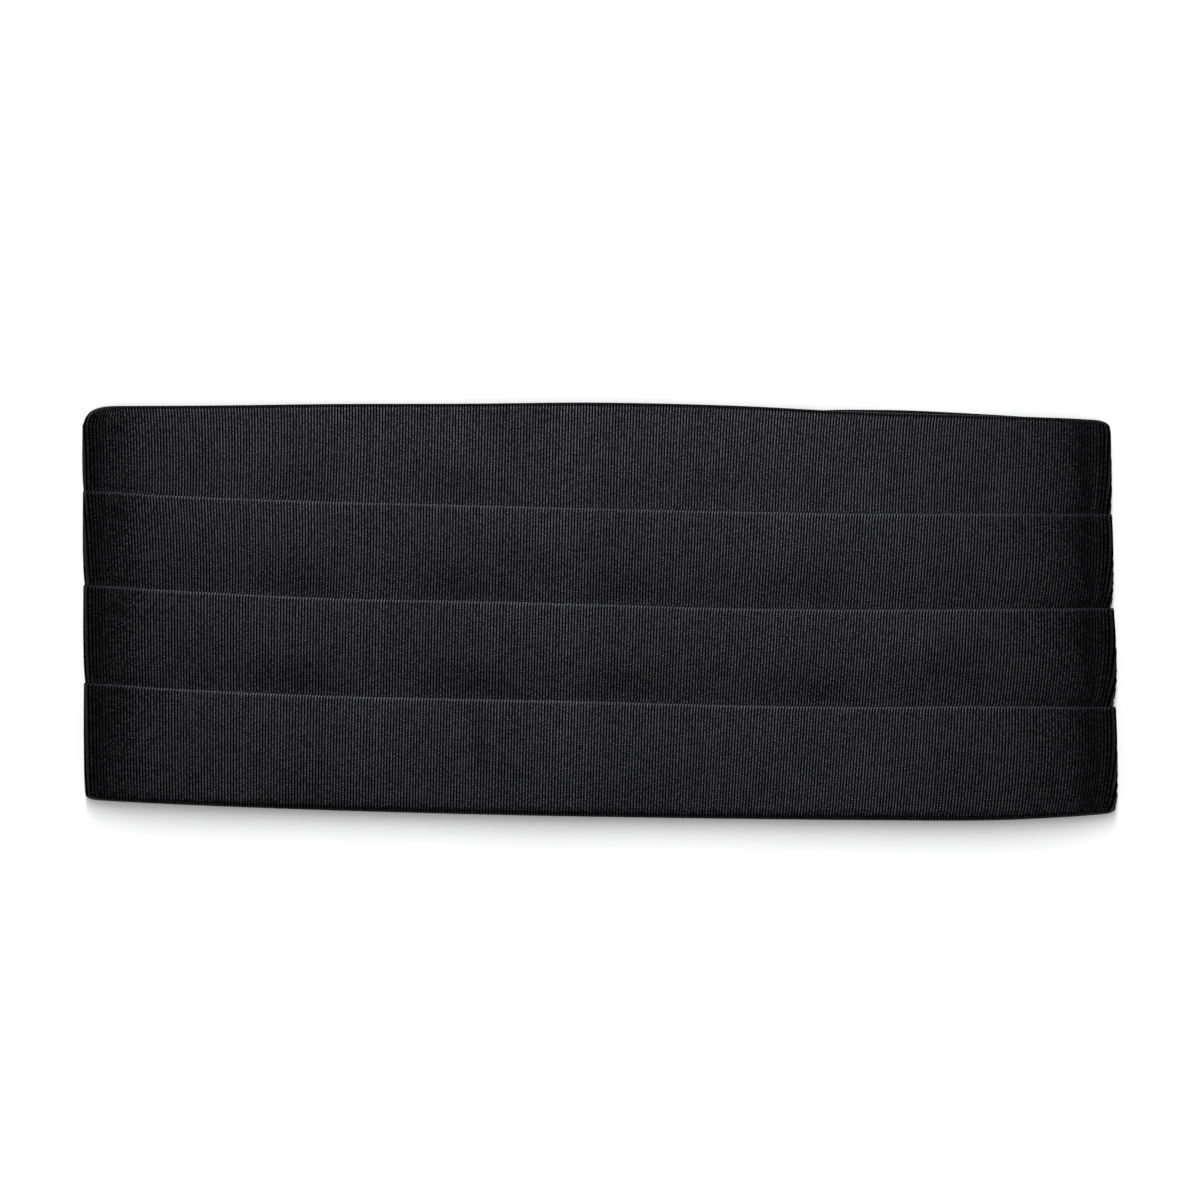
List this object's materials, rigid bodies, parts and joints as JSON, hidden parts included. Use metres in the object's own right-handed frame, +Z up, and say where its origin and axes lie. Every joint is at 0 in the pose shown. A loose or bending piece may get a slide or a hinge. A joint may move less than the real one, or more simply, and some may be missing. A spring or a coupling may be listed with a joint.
{
  "type": "cummerbund, folded flat",
  "caption": "Pleated ribbed waist sash for evening dress, lying flat with both ends folded behind and a strap with a slide between them.",
  "frame": {"origin": "under the middle of the whole garment, on the surface that it lies on", "axes": "+X along the garment, +Y across it towards the edge worn at the top, +Z up from the surface, out of the front's face"},
  "size_m": [0.3133, 0.1262, 0.011],
  "materials": {
    "ribbed_silk": "black ribbed silk with a soft satin sheen, ribs across the strip",
    "folded_layers": "the same black ribbed silk outside, plain black lining inside",
    "end_binding": "folded black ribbed silk, stitched",
    "strap_webbing": "matt black woven webbing",
    "slide_metal": "satin black enamel"
  },
  "bodies": {
    "root": {"pleat_strip_1_top": "ribbed_silk", "pleat_strip_2": "ribbed_silk", "pleat_strip_3": "ribbed_silk", "pleat_strip_4_bottom": "ribbed_silk", "folded_back_ends": "folded_layers", "end_binding_left": "end_binding", "end_binding_right": "end_binding", "back_strap": "strap_webbing", "strap_slide": "slide_metal"}
  },
  "joints": []
}
